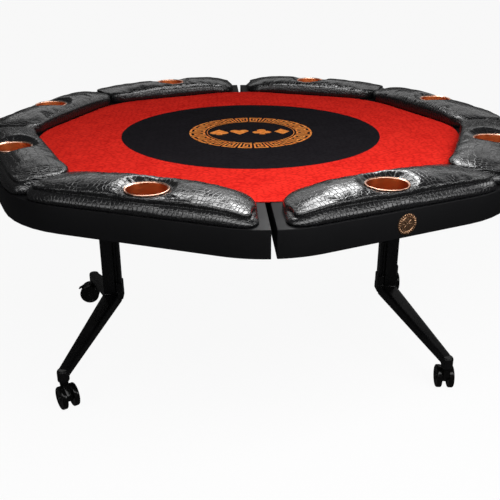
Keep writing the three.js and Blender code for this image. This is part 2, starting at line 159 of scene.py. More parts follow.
def make_camera():
    data = bpy.data.cameras.new("camera")
    data.lens = LENS
    data.sensor_width = 36
    camera = add_object("camera", data)
    turn = Matrix.Rotation(math.radians(PAN), 4, "Z")
    tilt = Matrix.Rotation(math.radians(90 - LOOK_DOWN), 4, "X")
    roll = Matrix.Rotation(math.radians(ROLL), 4, "Z")
    camera.matrix_world = Matrix.Translation(CAMERA_PLACE) @ turn @ tilt @ roll
    scene.camera = camera


def area_light(name, location, target, size, watts, gloss_only):
    data = bpy.data.lights.new(name, "AREA")
    data.shape = "RECTANGLE"
    data.size, data.size_y = size
    data.energy = watts
    light = add_object(name, data)
    light.location = location
    direction = Vector(target) - Vector(location)
    light.rotation_euler = direction.to_track_quat("-Z", "Y").to_euler()
    light.visible_camera = False
    light.visible_diffuse = not gloss_only
    light.visible_glossy = name != "key"


def make_sky():
    """Soft white from above, fading to near darkness below the horizon."""
    world = bpy.data.worlds.new("studio")
    scene.world = world
    world.use_nodes = True
    tree = world.node_tree
    background = tree.nodes["Background"]
    background.inputs["Color"].default_value = (1, 1, 1, 1)
    direction = tree.nodes.new("ShaderNodeTexCoord").outputs["Generated"]
    split = tree.nodes.new("ShaderNodeSeparateXYZ")
    tree.links.new(direction, split.inputs["Vector"])
    fade = tree.nodes.new("ShaderNodeMapRange")
    fade.interpolation_type = "SMOOTHSTEP"
    tree.links.new(split.outputs["Z"], fade.inputs["Value"])
    ends = {"From Min": 0.02, "From Max": 0.48, "To Min": SKY_BELOW, "To Max": SKY_ABOVE}
    for socket, value in ends.items():
        fade.inputs[socket].default_value = value
    tree.links.new(fade.outputs["Result"], background.inputs["Strength"])


def glowing(name, albedo, roughness, glow):
    """A matt white surface that is as bright as glow without any light."""
    paint = Paint(name, (albedo, albedo, albedo), roughness)
    paint.set("Specular IOR Level", 0.0)
    paint.set("Emission Color", (1, 1, 1, 1))
    paint.set("Emission Strength", glow)
    return paint.material


def make_backdrop(radius):
    """A pale dome that only the camera sees, so the floor meets the same tone at every angle."""
    mesh = bpy.data.meshes.new("backdrop")
    with editing(mesh) as work:
        bmesh.ops.create_icosphere(work, subdivisions=4, radius=radius)
        bmesh.ops.reverse_faces(work, faces=work.faces)
    mesh.materials.append(glowing("backdrop_pale", 0.0, 1.0, BACKDROP_GLOW))
    dome = add_object("backdrop", mesh)
    dome.visible_diffuse = dome.visible_glossy = dome.visible_shadow = False
    dome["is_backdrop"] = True


# Name, place, aim, size, watts, and whether only reflections show it. The key has no reflection.
LIGHTS = (
    ("key", (0.40, -1.45, 1.85), (0, -0.4, 0.7), (1.8, 0.9), 37, False),
    ("front_left", (-2.6, -2.4, 1.9), (0, -0.3, 0.6), (0.9, 1.3), 12, False),
    ("front_right", (2.6, -2.2, 1.9), (0, -0.3, 0.6), (0.9, 1.3), 21, False),
    ("over_table", (0, 0.1, 1.75), (0, 0, 0.75), (1.0, 0.35), 12, True),
    ("behind", (0.4, 2.2, 1.9), (0, 0, 0.75), (4.2, 0.9), 12, True),
    ("brow", (0, -1.6, 2.0), (0, -0.8, 0.75), (2.6, 0.8), 38, True),
    ("end_glint", (0.42, 0.65, 1.9), (0, -0.7, 0.75), (0.4, 0.4), 8, True),
    ("right_glint", (2.3, -0.3, 1.9), (0.6, -0.5, 0.75), (0.8, 0.8), 9, True),
)


def make_stage():
    make_sky()
    half = FLOOR_HALF
    corners = [(-half, -half, 0), (half, -half, 0), (half, half, 0), (-half, half, 0)]
    paint = glowing("floor_pale", FLOOR_ALBEDO, 0.9, FLOOR_GLOW)
    floor = new_object("floor", corners, [(0, 1, 2, 3)], paint)
    floor.visible_glossy = False
    floor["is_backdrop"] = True
    make_backdrop(half)
    for light in LIGHTS:
        area_light(*light)
    scene.view_settings.view_transform = "Standard"


# ---- Materials ----


class Paint:
    """A node material around one Principled shader, with short helpers for procedural detail."""

    def __init__(self, name, color, roughness, metallic=0.0):
        self.material = bpy.data.materials.new(name)
        self.material.use_nodes = True
        self.tree = self.material.node_tree
        self.shader = self.tree.nodes["Principled BSDF"]
        self.set("Base Color", (*color, 1))
        self.set("Roughness", roughness)
        self.set("Metallic", metallic)
        self.coordinates = self.node("ShaderNodeTexCoord").outputs["Object"]

    def set(self, socket, value):
        self.shader.inputs[socket].default_value = value

    def node(self, kind, inputs=None, **values):
        made = self.tree.nodes.new(kind)
        for key, value in values.items():
            setattr(made, key, value)
        for socket, value in (inputs or {}).items():
            made.inputs[socket].default_value = value
        return made

    def link(self, source, target):
        self.tree.links.new(source, target)

    def feed(self, source, socket):
        self.link(source, self.shader.inputs[socket])

    def stretched(self, scale, source=None):
        mapping = self.node("ShaderNodeMapping", {"Scale": scale})
        self.link(source or self.coordinates, mapping.inputs["Vector"])
        return mapping.outputs["Vector"]

    def warped(self, vector, scale, amount):
        """A vector pushed about by noise."""
        noise = self.node("ShaderNodeTexNoise", {"Scale": scale})
        self.link(vector, noise.inputs["Vector"])
        scaled = self.node("ShaderNodeVectorMath", {"Scale": amount}, operation="SCALE")
        self.link(noise.outputs["Color"], scaled.inputs[0])
        added = self.node("ShaderNodeVectorMath", operation="ADD")
        self.link(vector, added.inputs[0])
        self.link(scaled.outputs["Vector"], added.inputs[1])
        return added.outputs["Vector"]

    def noise(self, scale, detail=3, vector=None, distortion=0.0):
        inputs = {"Scale": scale, "Detail": detail, "Distortion": distortion}
        texture = self.node("ShaderNodeTexNoise", inputs)
        self.link(vector or self.coordinates, texture.inputs["Vector"])
        return texture.outputs["Fac"]

    def net(self, density, vector, randomness, edge, flat=False):
        """A net of cells, with density cells per metre each way: 0 on its lines, 1 inside the cells."""
        inputs = {"Scale": 1, "Randomness": randomness}
        texture = self.node("ShaderNodeTexVoronoi", inputs, feature="DISTANCE_TO_EDGE")
        texture.voronoi_dimensions = "2D" if flat else "3D"
        self.link(self.stretched(density, vector), texture.inputs["Vector"])
        return self.remap(texture.outputs["Distance"], edge)

    def remap(self, source, old, new=(0, 1)):
        ends = zip(("From Min", "From Max", "To Min", "To Max"), (*old, *new))
        node = self.node("ShaderNodeMapRange", dict(ends))
        self.link(source, node.inputs["Value"])
        return node.outputs["Result"]

    def math(self, operation, a, b=0.5):
        node = self.node("ShaderNodeMath", operation=operation)
        for socket, value in zip(node.inputs, (a, b)):
            if isinstance(value, (int, float)):
                socket.default_value = value
            else:
                self.link(value, socket)
        return node.outputs["Value"]

    def vary_roughness(self, texture, low, high):
        self.feed(self.remap(texture, (0.3, 0.7), (low, high)), "Roughness")

    def mix(self, factor, first, second):
        node = self.node("ShaderNodeMix", data_type="RGBA")
        self.link(factor, node.inputs["Factor"])
        for name, value in (("A", first), ("B", second)):
            socket = next(s for s in node.inputs if s.name == name and s.type == "RGBA")
            if isinstance(value, tuple):
                socket.default_value = (*value, 1)
            else:
                self.link(value, socket)
        return next(s for s in node.outputs if s.type == "RGBA")

    def bump(self, height, strength, distance):
        node = self.node("ShaderNodeBump", {"Strength": strength, "Distance": distance})
        self.link(height, node.inputs["Height"])
        self.feed(node.outputs["Normal"], "Normal")


def black_board():
    paint = Paint("black_lacquer", (0.0042, 0.0042, 0.0046), 0.45)
    paint.set("Specular IOR Level", 0.08)
    paint.vary_roughness(paint.noise(9, 4), 0.40, 0.52)
    paint.bump(paint.noise(420, 2), 0.12, 0.0004)
    return paint.material


def black_leather():
    """Glossy crocodile-grain leather. The grain follows the pad's own length and width, in metres."""
    paint = Paint("black_leather", (0.005, 0.005, 0.0055), 0.26)
    along = paint.node("ShaderNodeTexCoord").outputs["UV"]
    bent = paint.warped(along, 22, 0.012)
    scales = paint.net((88, 46, 1), bent, 0.6, (0.0, 0.12), flat=True)
    fine = paint.net((260, 150, 1), bent, 1.0, (0.0, 0.13), flat=True)
    creases = paint.noise(1, 2, paint.stretched((170, 22, 1), bent), 0.3)
    height = paint.math("ADD", scales, paint.math("MULTIPLY", fine, 0.16))
    height = paint.math("ADD", height, paint.math("MULTIPLY", creases, 0.9))
    paint.bump(height, 1.0, 0.00028)
    polish = paint.math("MULTIPLY", scales, paint.remap(paint.noise(35, 3), (0.3, 0.7), (0.8, 1.0)))
    paint.feed(paint.remap(polish, (0, 1), (0.38, 0.13)), "Roughness")
    # Painted shade: the grooves between the scales are painted darker than the scales' tops.
    paint.feed(paint.mix(scales, (0.002, 0.002, 0.002), (0.006, 0.006, 0.0065)), "Base Color")
    return paint.material


def speed_cloth(name, dark, light):
    """Smooth cloth with a tone-on-tone pattern of small overlapping scales."""
    paint = Paint(name, light, 0.7)
    paint.set("Specular IOR Level", 0.0)
    bent = paint.warped(paint.coordinates, 9, 0.012)
    cells = paint.net((58, 105, 58), bent, 0.8, (0.02, 0.2))
    threads = paint.noise(1, 3, paint.stretched((130, 330, 130)))
    mottle = paint.noise(24, 5)
    tone = paint.math("ADD", paint.math("MULTIPLY", cells, 0.34), paint.math("MULTIPLY", mottle, 0.55))
    tone = paint.math("ADD", tone, paint.math("MULTIPLY", threads, 0.45))
    paint.feed(paint.mix(paint.remap(tone, (0.42, 0.98)), dark, light), "Base Color")
    paint.bump(paint.noise(1500, 1), 0.15, 0.0003)
    return paint.material


def copper(name, color, roughness, streak):
    paint = Paint(name, color, roughness, 1.0)
    streaks = paint.noise(1, 3, paint.stretched((streak, streak, 900)))
    paint.vary_roughness(streaks, roughness * 0.85, roughness * 1.2)
    shade = tuple(0.88 * c for c in color)
    paint.feed(paint.mix(paint.remap(streaks, (0.3, 0.7)), shade, color), "Base Color")
    paint.bump(streaks, 0.05, 0.0002)
    return paint.material


def gold_print():
    paint = Paint("gold_print", (0.62, 0.25, 0.07), 0.6)
    paint.set("Specular IOR Level", 0.0)
    flecks = paint.remap(paint.noise(90, 4), (0.35, 0.65))
    paint.feed(paint.mix(flecks, (0.75, 0.20, 0.035), (1.0, 0.38, 0.085)), "Base Color")
    return paint.material


def antique_bronze():
    paint = Paint("antique_bronze", (0.42, 0.22, 0.12), 0.38, 1.0)
    worn = paint.remap(paint.noise(260, 4), (0.35, 0.65))
    paint.feed(paint.mix(worn, (0.15, 0.075, 0.040), (0.50, 0.30, 0.18)), "Base Color")
    paint.feed(paint.remap(worn, (0, 1), (0.55, 0.4)), "Roughness")
    return paint.material


def powder_coat():
    paint = Paint("black_powder_coat", (0.004, 0.004, 0.0043), 0.28)
    paint.set("Specular IOR Level", 0.22)
    paint.vary_roughness(paint.noise(25, 3), 0.23, 0.34)
    paint.bump(paint.noise(900, 2), 0.08, 0.0003)
    return paint.material


def dark_steel():
    paint = Paint("dark_steel", (0.16, 0.16, 0.17), 0.35, 1.0)
    paint.vary_roughness(paint.noise(300, 3), 0.28, 0.5)
    return paint.material


def moulded_black(name, roughness):
    paint = Paint(name, (0.003, 0.003, 0.003), roughness)
    paint.set("Specular IOR Level", 0.2)
    paint.vary_roughness(paint.noise(60, 3), roughness * 0.8, roughness * 1.3)
    paint.bump(paint.noise(1200, 1), 0.05, 0.0002)
    return paint.material


make_camera()
make_stage()
MATERIALS = {
    "black_board": black_board(),
    "black_leather": black_leather(),
    "red_cloth": speed_cloth("red_speed_cloth", (0.66, 0.014, 0.012), (0.98, 0.042, 0.026)),
    "black_cloth": speed_cloth("black_speed_cloth", (0.012, 0.011, 0.013), (0.0185, 0.017, 0.0198)),
    # The cup body's copper is painted far darker than the polished rim's: painted shade for the inside
    # of the cup. Its brushed streaks and rougher finish are real.
    "copper": copper("brushed_copper_painted_shade", (0.56, 0.155, 0.045), 0.40, 40),
    "copper_flange": copper("polished_copper", (0.86, 0.50, 0.36), 0.28, 120),
    "gold_print": gold_print(),
    "bronze": antique_bronze(),
    "leg_metal": powder_coat(),
    "steel": dark_steel(),
    "caster_plastic": moulded_black("caster_black", 0.14),
    "wheel_plastic": moulded_black("wheel_black", 0.15),
}

# ---- Mesh helpers ----


def smooth(obj, angle):
    """Smooth shading, with edges sharper than angle kept crisp."""
    mesh = obj.data
    mesh.shade_smooth()
    with editing(mesh) as work:
        for edge in work.edges:
            edge.smooth = edge.calc_face_angle(0) < math.radians(angle)
    return obj


def bake_modifiers(obj):
    """Replaces the mesh by its shape after every modifier, and removes them."""
    bpy.context.view_layer.update()
    graph = bpy.context.evaluated_depsgraph_get()
    mesh = bpy.data.meshes.new_from_object(obj.evaluated_get(graph))
    obj.modifiers.clear()
    old = obj.data
    obj.data = mesh
    bpy.data.meshes.remove(old)


def merge_flat_faces(mesh, weld):
    with editing(mesh) as work:
        bmesh.ops.remove_doubles(work, verts=work.verts, dist=weld)
        flat = math.radians(0.5)
        bmesh.ops.dissolve_limit(work, angle_limit=flat, verts=work.verts, edges=work.edges)


def copy_node(node, name):
    """A separate copy of a CAD node's mesh, with its flat faces merged."""
    mesh = frame["nodes"][node].data.copy()
    mesh.materials.clear()
    merge_flat_faces(mesh, 1e-6)
    return add_object(name, mesh)


def adopt(piece, slot, *nodes):
    """piece stands for CAD nodes of one body. If it is bare, it gets the finish of its slot."""
    if not piece.data.materials:
        piece.data.materials.append(MATERIALS[slot])
    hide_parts(*nodes)
    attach(piece, body_of(nodes[0]))


def round_edges(piece, width, segments):
    bevel = piece.modifiers.new("edges", "BEVEL")
    bevel.width = width
    bevel.segments = segments
    bevel.limit_method = "ANGLE"
    bevel.angle_limit = math.radians(30)
    bevel.use_clamp_overlap = True
    bake_modifiers(piece)
    return smooth(piece, 40)


def soften_edges(node, slot, width, segments=2):
    """A copy of a hard CAD piece with its sharp edges rounded."""
    piece = copy_node(node, f"{node}_shell")
    adopt(round_edges(piece, width, segments), slot, node)


def revolve(name, profile, count, origin=(0, 0, 0), close=False):
    """Turns (radius, height) points about an upright axis. Points on the axis close the ends."""
    verts, faces = [], []
    rings = []
    for radius, height in profile:
        if radius < 1e-7:
            rings.append([len(verts)])
            verts.append(Vector((0, 0, height)))
            continue
        rings.append(list(range(len(verts), len(verts) + count)))
        for i in range(count):
            angle = 2 * math.pi * i / count
            verts.append(Vector((*polar(radius, angle), height)))
    pairs = list(zip(rings, rings[1:]))
    if close:
        pairs.append((rings[-1], rings[0]))
    for low, high in pairs:
        for i in range(count):
            j = (i + 1) % count
            quad = [low[i % len(low)], low[j % len(low)], high[j % len(high)], high[i % len(high)]]
            corner = [v for k, v in enumerate(quad) if v not in quad[:k]]
            if len(corner) > 2:
                faces.append(corner)
    piece = new_object(name, [v + Vector(origin) for v in verts], faces)
    face_outward(piece)
    return piece


def tube_faces(base, sections, count):
    """Faces of a closed tube, whose sections of count points follow each other from vertex base."""
    faces = []
    last = base + (sections - 1) * count
    for low in range(base, last, count):
        for i in range(count):
            j = (i + 1) % count
            faces.append((low + i, low + j, low + count + j, low + count + i))
    faces.append(tuple(range(base + count - 1, base - 1, -1)))
    faces.append(tuple(range(last, last + count)))
    return faces


def band(low, high, count, closed=True):
    """Quads between two rows of count points, which start at the vertices low and high."""
    quads = []
    for i in range(count if closed else count - 1):
        j = (i + 1) % count
        quads.append((low + i, high + i, high + j, low + j))
    return quads


def face_outward(piece):
    with editing(piece.data) as work:
        bmesh.ops.recalc_face_normals(work, faces=work.faces)


def arc(cx, cy, radius, start, end, steps):
    """Points of an arc in a profile, angles in degrees."""
    points = []
    for i in range(steps + 1):
        angle = math.radians(start + (end - start) * i / steps)
        points.append((cx + radius * math.cos(angle), cy + radius * math.sin(angle)))
    return points


# ---- Hard parts of the top ----


def join_solids(piece, other):
    """Merges another closed mesh into piece and removes it."""
    union = piece.modifiers.new("union", "BOOLEAN")
    union.operation = "UNION"
    union.solver = "EXACT"
    union.object = other
    bake_modifiers(piece)
    discard(other)


def make_casing(side):
    """The board and its apron as the one lacquered shell that they are glued into."""
    apron, board = f"{side}_apron", f"{side}_top_board"
    casing = copy_node(apron, f"{side}_casing")
    slab = copy_node(board, f"{side}_slab")
    cups = [centre(f"{side}_{place}_cup") for place in SIDE_NAMES[side]]
    middle = centre(board)
    # The slab's outer edge is pushed a little into the apron, so that the two join.
    hole_reach, into_wall = 0.052, 1.004
    for vertex in slab.data.vertices:
        if min((vertex.co - cup).xy.length for cup in cups) > hole_reach:
            vertex.co.xy = middle.xy + (vertex.co.xy - middle.xy) * into_wall
    join_solids(casing, slab)
    merge_flat_faces(casing.data, 1e-5)
    round_edges(casing, 0.0022, 3)
    casing.data.materials.clear()
    adopt(casing, "black_board", apron, board)


for side in SIDES:
    make_casing(side)
    for node in (f"{side}_pivot_bracket", f"{side}_pivot_pin", f"{side}_link"):
        soften_edges(node, "steel" if node.endswith("pin") else "leg_metal", 0.0008)
    for place in ("front", "rear", "centre"):
        soften_edges(f"{place}_hinge_{side}_leaf", "leg_metal", 0.0006)
    soften_edges(f"{side}_column", "leg_metal", 0.0022, 3)
soften_edges("fold_hanger", "leg_metal", 0.0008)

# ---- Feet ----

# Half sizes of a foot's arm at the hub, and how much smaller they are at the caster
ARM_HALF_WIDTH, ARM_HALF_DEPTH = 0.0285, 0.0205
ARM_NARROWS, ARM_THINS = 0.0115, 0.0075
SOCKET_RADIUS = 0.0177
COLUMN_CLEARANCE = 0.0003
CASTING_VOXEL = 0.0021


def rounded_section(half_width, half_height, radius, steps=4):
    """Points of a rounded rectangle, (across, up), counter-clockwise."""
    points = []
    for quarter in range(4):
        cx = (half_width - radius) * (1 if quarter in (0, 3) else -1)
        cy = (half_height - radius) * (1 if quarter in (0, 1) else -1)
        points += arc(cx, cy, radius, 90 * quarter, 90 * quarter + 90, steps)
    return points


def loft(stations, verts, faces):
    """Adds a closed tube. Each station is a centre, an across and an up vector, and a section."""
    faces.extend(tube_faces(len(verts), len(stations), len(stations[0][3])))
    for middle, across, up, section in stations:
        verts.extend(middle + across * a + up * b for a, b in section)


def make_foot(side):
    """The cast foot as one skin over a hub, a boot, two tapering arms and two sockets."""
    node = f"{side}_foot"
    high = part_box(node)[1]
    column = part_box(f"{side}_column")
    sign = -1 if side == "left" else 1
    axis_x = (column[0].x + column[1].x) / 2
    hub_top = column[0].z - COLUMN_CLEARANCE
    verts, faces = [], []

    def upright(x0, x1, half_y, z0, z1, radius):
        middle = Vector((axis_x - sign * (x0 + x1) / 2, 0, 0))
        section = rounded_section(abs(x1 - x0) / 2, half_y, radius)
        loft([(middle + UP * z, EAST, NORTH, section) for z in (z0, z1)], verts, faces)

    upright(-0.030, 0.033, 0.026, hub_top - 0.0247, hub_top, 0.007)
    upright(0.0095, 0.033, 0.0235, hub_top - 0.0207, high.z, 0.007)
    for end in (j for j in frame["record"]["behaviour"]["joints"] if j["name"].endswith("_swivel")):
        if end["name"].split("_")[1] != side:
            continue
        x, y, socket_bottom = end["pos_m"]
        root = Vector((axis_x, math.copysign(0.004, y), hub_top - 0.0187))
        knee = Vector((x, y, socket_bottom + 0.0215))
        along = (knee - root).normalized()
        across = along.cross(UP).normalized()
        lift = across.cross(along).normalized()
        stations = []
        for t in (0.0, 0.06, 0.2, 0.4, 0.6, 0.8, 0.93, 1.0):
            half_width = ARM_HALF_WIDTH - ARM_NARROWS * t
            section = rounded_section(half_width, ARM_HALF_DEPTH - ARM_THINS * t, 0.0075)
            stations.append((root.lerp(knee, t), across, lift, section))
        loft(stations, verts, faces)
        socket = rounded_section(SOCKET_RADIUS, SOCKET_RADIUS, 0.0170, 8)
        stations = []
        for rise, share in ((0, 0.98), (0.002, 1.0), (0.031, 1.0), (0.0355, 0.85)):
            section = [(a * share, b * share) for a, b in socket]
            stations.append((Vector((x, y, socket_bottom + rise)), EAST, NORTH, section))
        loft(stations, verts, faces)
    foot = new_object(f"{node}_casting", verts, faces)
    face_outward(foot)
    remesh = foot.modifiers.new("skin", "REMESH")
    remesh.mode = "VOXEL"
    remesh.voxel_size = CASTING_VOXEL
    relax = foot.modifiers.new("relax", "SMOOTH")
    relax.factor = 0.5
    relax.iterations = 3
    bake_modifiers(foot)
    foot.data.shade_smooth()
    adopt(foot, "leg_metal", node)


for side in SIDES:
    make_foot(side)

# ---- Casters ----


def make_wheel(node):
    """A moulded wheel with a rounded tread, a rim bead and a stepped hub cap."""
    caster = node[: -len("_wheel_a")]
    axle = centre(f"{caster}_caster_axle")
    middle = centre(node)
    out = (middle - axle).normalized()
    low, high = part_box(node)
    radius = (high.z - low.z) / 2
    inner, outer = 0.010, 0.027
    tread = 0.0045
    profile = [
        (0.0035, inner), (0.012, inner), (0.013, inner + 0.002), (radius - 0.008, inner + 0.002),
        *arc(radius - 0.003, inner + 0.003, 0.003, 225, 360, 5),
        *arc(radius - tread, outer - 0.001 - tread, tread, 0, 90, 6),
        (radius - 0.0075, outer - 0.001), (radius - 0.009, outer - 0.0028),
        (radius - 0.014, outer - 0.0034), (0.0125, outer - 0.0026),
        *arc(0.0085, outer - 0.002, 0.0022, 0, 90, 4),
        (0.0035, outer + 0.0003),
    ]
    wheel = revolve(f"{node}_moulding", profile, 56, close=True)
    turn = UP.rotation_difference(out).to_matrix().to_4x4()
    wheel.data.transform(Matrix.Translation(axle) @ turn)
    adopt(smooth(wheel, 50), "wheel_plastic", node)


for caster in CASTERS:
    soften_edges(f"{caster}_caster_housing", "caster_plastic", 0.0014, 3)
    soften_edges(f"{caster}_caster_axle", "steel", 0.0006)
    for letter in "ab":
        make_wheel(f"{caster}_wheel_{letter}")
    if caster.startswith("rear"):
        soften_edges(f"{caster}_brake_lever", "caster_plastic", 0.0012, 2)

# ---- Cups ----


def make_cup(node):
    """A spun copper cup with a rolled flange."""
    low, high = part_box(node)
    middle = (low + high) / 2
    flange = (high.x - low.x) / 2
    body = flange - 0.0035
    wall = 0.0012
    inner = body - wall
    rim = high.z - 0.003
    bend = 0.006
    roll = 0.0017
    profile = [
        (0, low.z), (body - bend, low.z),
        *arc(body - bend, low.z + bend, bend, 270, 360, 6)[1:],
        (body, rim),
        (flange - roll, rim),
        *arc(flange - roll, rim + roll, roll, -80, 90, 7),
        *arc(inner + 0.002, high.z - 0.0026, 0.002, 100, 180, 4),
        *arc(inner - bend, low.z + wall + bend, bend, 0, -90, 6),
        (0, low.z + wall),
    ]
    cup = revolve(f"{node}_spun", profile, 72, origin=(middle.x, middle.y, 0))
    cup.data.materials.append(MATERIALS["copper"])
    cup.data.materials.append(MATERIALS["copper_flange"])
    # Faces below the rim take the darker copper with painted shade; the rolled rim takes the polished
    # copper.
    for polygon in cup.data.polygons:
        polygon.material_index = int(polygon.center.z > rim - 0.001)
    adopt(smooth(cup, 40), "copper", node)


for side in SIDES:
    for place in SIDE_NAMES[side]:
        make_cup(f"{side}_{place}_cup")

# ---- Play surface ----

CLOTH_APOTHEM, CLOTH_CORNER = 0.607, 0.281
BLACK_RADIUS = 0.390
RING_OUTER, RING_INNER = 0.187, 0.1395


def cloth_reach(angle):
    """Distance from the middle to the cloth's edge: a rounded octagon with corners on the axes."""
    from_corner = (angle + EIGHTH) % (2 * EIGHTH) - EIGHTH
    to_centre = (CLOTH_APOTHEM - CLOTH_CORNER) / math.cos(EIGHTH)
    along, across = polar(to_centre, from_corner)
    from_side = EIGHTH - abs(from_corner)
    touch = math.atan2(to_centre * math.sin(EIGHTH), CLOTH_APOTHEM)
    if from_side < touch:
        return CLOTH_APOTHEM / math.cos(from_side)
    return along + math.sqrt(CLOTH_CORNER**2 - across**2)


def make_cloth(side):
    """The printed cloth on its board: a fan of rings, black inside and red outside."""
    node = f"{side}_play_surface"
    low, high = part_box(node)
    sign = -1 if side == "left" else 1
    roll = 0.002
    steps = 160
    radii = [0.03, 0.08, RING_INNER, RING_OUTER, 0.24, 0.30, 0.35, BLACK_RADIUS]
    angles = [math.pi / 2 + math.pi * i / steps for i in range(steps + 1)]
    edges = [cloth_reach(angle) for angle in angles]
    rings = [[radius] * (steps + 1) for radius in radii]
    for share in (0.1, 0.3, 0.5, 0.7, 0.9):
        rings.append([BLACK_RADIUS + share * (e - roll - BLACK_RADIUS) for e in edges])
    heights = [high.z] * len(rings)
    for lift in range(5):
        bend = math.radians(90 * lift / 4)
        rings.append([e - roll + roll * math.sin(bend) for e in edges])
        heights.append(high.z - roll + roll * math.cos(bend))
    rings.append(list(edges))
    heights.append(low.z)
    verts = [(0, 0, high.z)]
    for ring, height in zip(rings, heights):
        for i, radius in enumerate(ring):
            x, y = polar(radius, angles[i])
            on_seam = i in (0, steps)
            verts.append((0 if on_seam else min(x, 0) * -sign, y, height))
    red, black = 0, 1
    width = steps + 1
    faces = [(0, 1 + i, 2 + i) for i in range(steps)]
    finishes = [black] * steps
    starts = [1 + r * width for r in range(len(rings))]
    for r, (low_row, high_row) in enumerate(zip(starts, starts[1:])):
        faces += band(low_row, high_row, width, closed=False)
        finishes += [black if r < len(radii) - 1 else red] * steps
    faces.append(tuple(range(starts[-1] + steps, starts[-1] - 1, -1)))
    finishes.append(red)
    ends = [start + steps for start in starts]
    faces.append((*reversed(ends), 0, *starts))
    finishes.append(black)
    cloth = new_object(f"{node}_cloth", verts, faces)
    cloth.data.materials.append(MATERIALS["red_cloth"])
    cloth.data.materials.append(MATERIALS["black_cloth"])
    for polygon, finish in zip(cloth.data.polygons, finishes):
        polygon.material_index = finish
    face_outward(cloth)
    adopt(smooth(cloth, 30), "red_cloth", node)


for side in SIDES:
    make_cloth(side)

# ---- Print on the cloth ----

PRINT_LIFT, PRINT_THICKNESS = 0.00005, 0.0004
KEY = [
    "#######.",
    "#.....#.",
    "#.###.#.",
    "#.#.#.#.",
    "#.#.#.#.",
    "#.#...#.",
    "#.#####.",
]
STROKE_SHARE = 0.42
THIN_RING_INNER, THIN_RING_OUTER = 0.1315, 0.1335
SUIT_SIZE, SUIT_WAIST = 0.0325, 0.12
KEYS_PER_HALF = 12


def inlay(name, side, verts, faces):
    """Thin closed print on one half's cloth."""
    node = f"{side}_play_surface"
    piece = new_object(name, verts, faces, MATERIALS["gold_print"])
    face_outward(piece)
    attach(piece, body_of(node))


def print_base(side):
    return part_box(f"{side}_play_surface")[1].z + PRINT_LIFT


def first_angle(side):
    """Angle at which a half's part of a ring starts, anticlockwise."""
    return math.pi / 2 if side == "left" else -math.pi / 2


def stroke_edge(line):
    """Place of a grid line when strokes, the even squares, are narrower than the gaps."""
    pairs, odd = divmod(line, 2)
    return pairs + odd * STROKE_SHARE


def make_key_ring(side):
    """A ring of square-spiral keys, as a clean grid of filled squares in polar coordinates."""
    base = print_base(side)
    start = first_angle(side)
    rows, columns = len(KEY), len(KEY[0])
    total = columns * KEYS_PER_HALF
    index, verts, faces = {}, [], []

    def filled(column, row):
        if not (0 <= row < rows and 0 <= column < total):
            return False
        cell, within = divmod(column, columns)
        return KEY[row][within if cell % 2 else (columns - 2 - within) % columns] == "#"

    def corner(column, row, level):
        key = (column, row, level)
        if key not in index:
            index[key] = len(verts)
            radius = RING_OUTER + (RING_INNER - RING_OUTER) * stroke_edge(row) / stroke_edge(rows)
            angle = start + stroke_edge(column) / stroke_edge(total) * math.pi
            verts.append((*polar(radius, angle), base + level * PRINT_THICKNESS))
        return index[key]

    for column in range(total):
        for row in range(rows):
            if not filled(column, row):
                continue
            square = [(column, row), (column + 1, row), (column + 1, row + 1), (column, row + 1)]
            faces.append([corner(*c, 1) for c in square])
            faces.append([corner(*c, 0) for c in reversed(square)])
            sides = [(0, -1), (1, 0), (0, 1), (-1, 0)]
            for k, (dc, dr) in enumerate(sides):
                if not filled(column + dc, row + dr):
                    a, b = square[k], square[(k + 1) % 4]
                    faces.append([corner(*a, 0), corner(*b, 0), corner(*b, 1), corner(*a, 1)])
    inlay(f"{side}_key_ring", side, verts, faces)


def reach_circle(cx, cy, radius, angle):
    along = cx * math.cos(angle) + cy * math.sin(angle)
    across = cx * math.sin(angle) - cy * math.cos(angle)
    return along + math.sqrt(radius**2 - across**2) if abs(across) < radius else 0


def reach_polygon(points, angle):
    ray = Vector((math.cos(angle), math.sin(angle)))
    best = 0
    for a, b in zip(points, points[1:] + points[:1]):
        a, edge = Vector(a), Vector(b) - Vector(a)
        slope = ray.cross(edge)
        if abs(slope) > 1e-9:
            distance, share = a.cross(edge) / slope, a.cross(ray) / slope
            if distance > 0 and 0 <= share <= 1:
                best = max(best, distance)
    return best


STEM = [(-0.07, 0.1), (-0.30, -0.95), (0.30, -0.95), (0.07, 0.1)]
SUITS = {
    "spade": (
        [(-0.42, -0.22, 0.44), (0.42, -0.22, 0.44)],
        [[(-0.80, 0.0), (0, -0.3), (0.80, 0.0), (0, 1.0)], STEM],
    ),
    "heart": (
        [(-0.42, 0.34, 0.44), (0.42, 0.34, 0.44)],
        [[(-0.82, 0.18), (0, -0.95), (0.82, 0.18), (0, 0.4)]],
    ),
    "club": ([(0, 0.48, 0.42), (-0.46, -0.18, 0.42), (0.46, -0.18, 0.42)], [STEM]),
    "diamond": ([], [[(0, 1.0), (-0.70, 0), (0, -1.0), (0.70, 0)]]),
}


def make_suit(side, suit, x):
    """A card suit printed x to the right of the fold line. Its outline is found ray by ray."""
    circles, polygons = SUITS[suit]
    base = print_base(side)
    count = 120
    outline = []
    for i in range(count):
        angle = 2 * math.pi * i / count
        reaches = [reach_circle(*c, angle) for c in circles]
        reaches += [reach_polygon(p, angle) for p in polygons]
        across, up = polar(SUIT_SIZE * max(*reaches, SUIT_WAIST), angle)
        outline.append((x + across, up))
    verts = [(*p, base) for p in outline] + [(*p, base + PRINT_THICKNESS) for p in outline]
    verts += [(x, 0, base), (x, 0, base + PRINT_THICKNESS)]
    faces = []
    for i in range(count):
        j = (i + 1) % count
        faces.append((i, j, count + j, count + i))
        faces.append((count + i, count + j, 2 * count + 1))
        faces.append((j, i, 2 * count))
    inlay(f"{side}_{suit}_print", side, verts, faces)


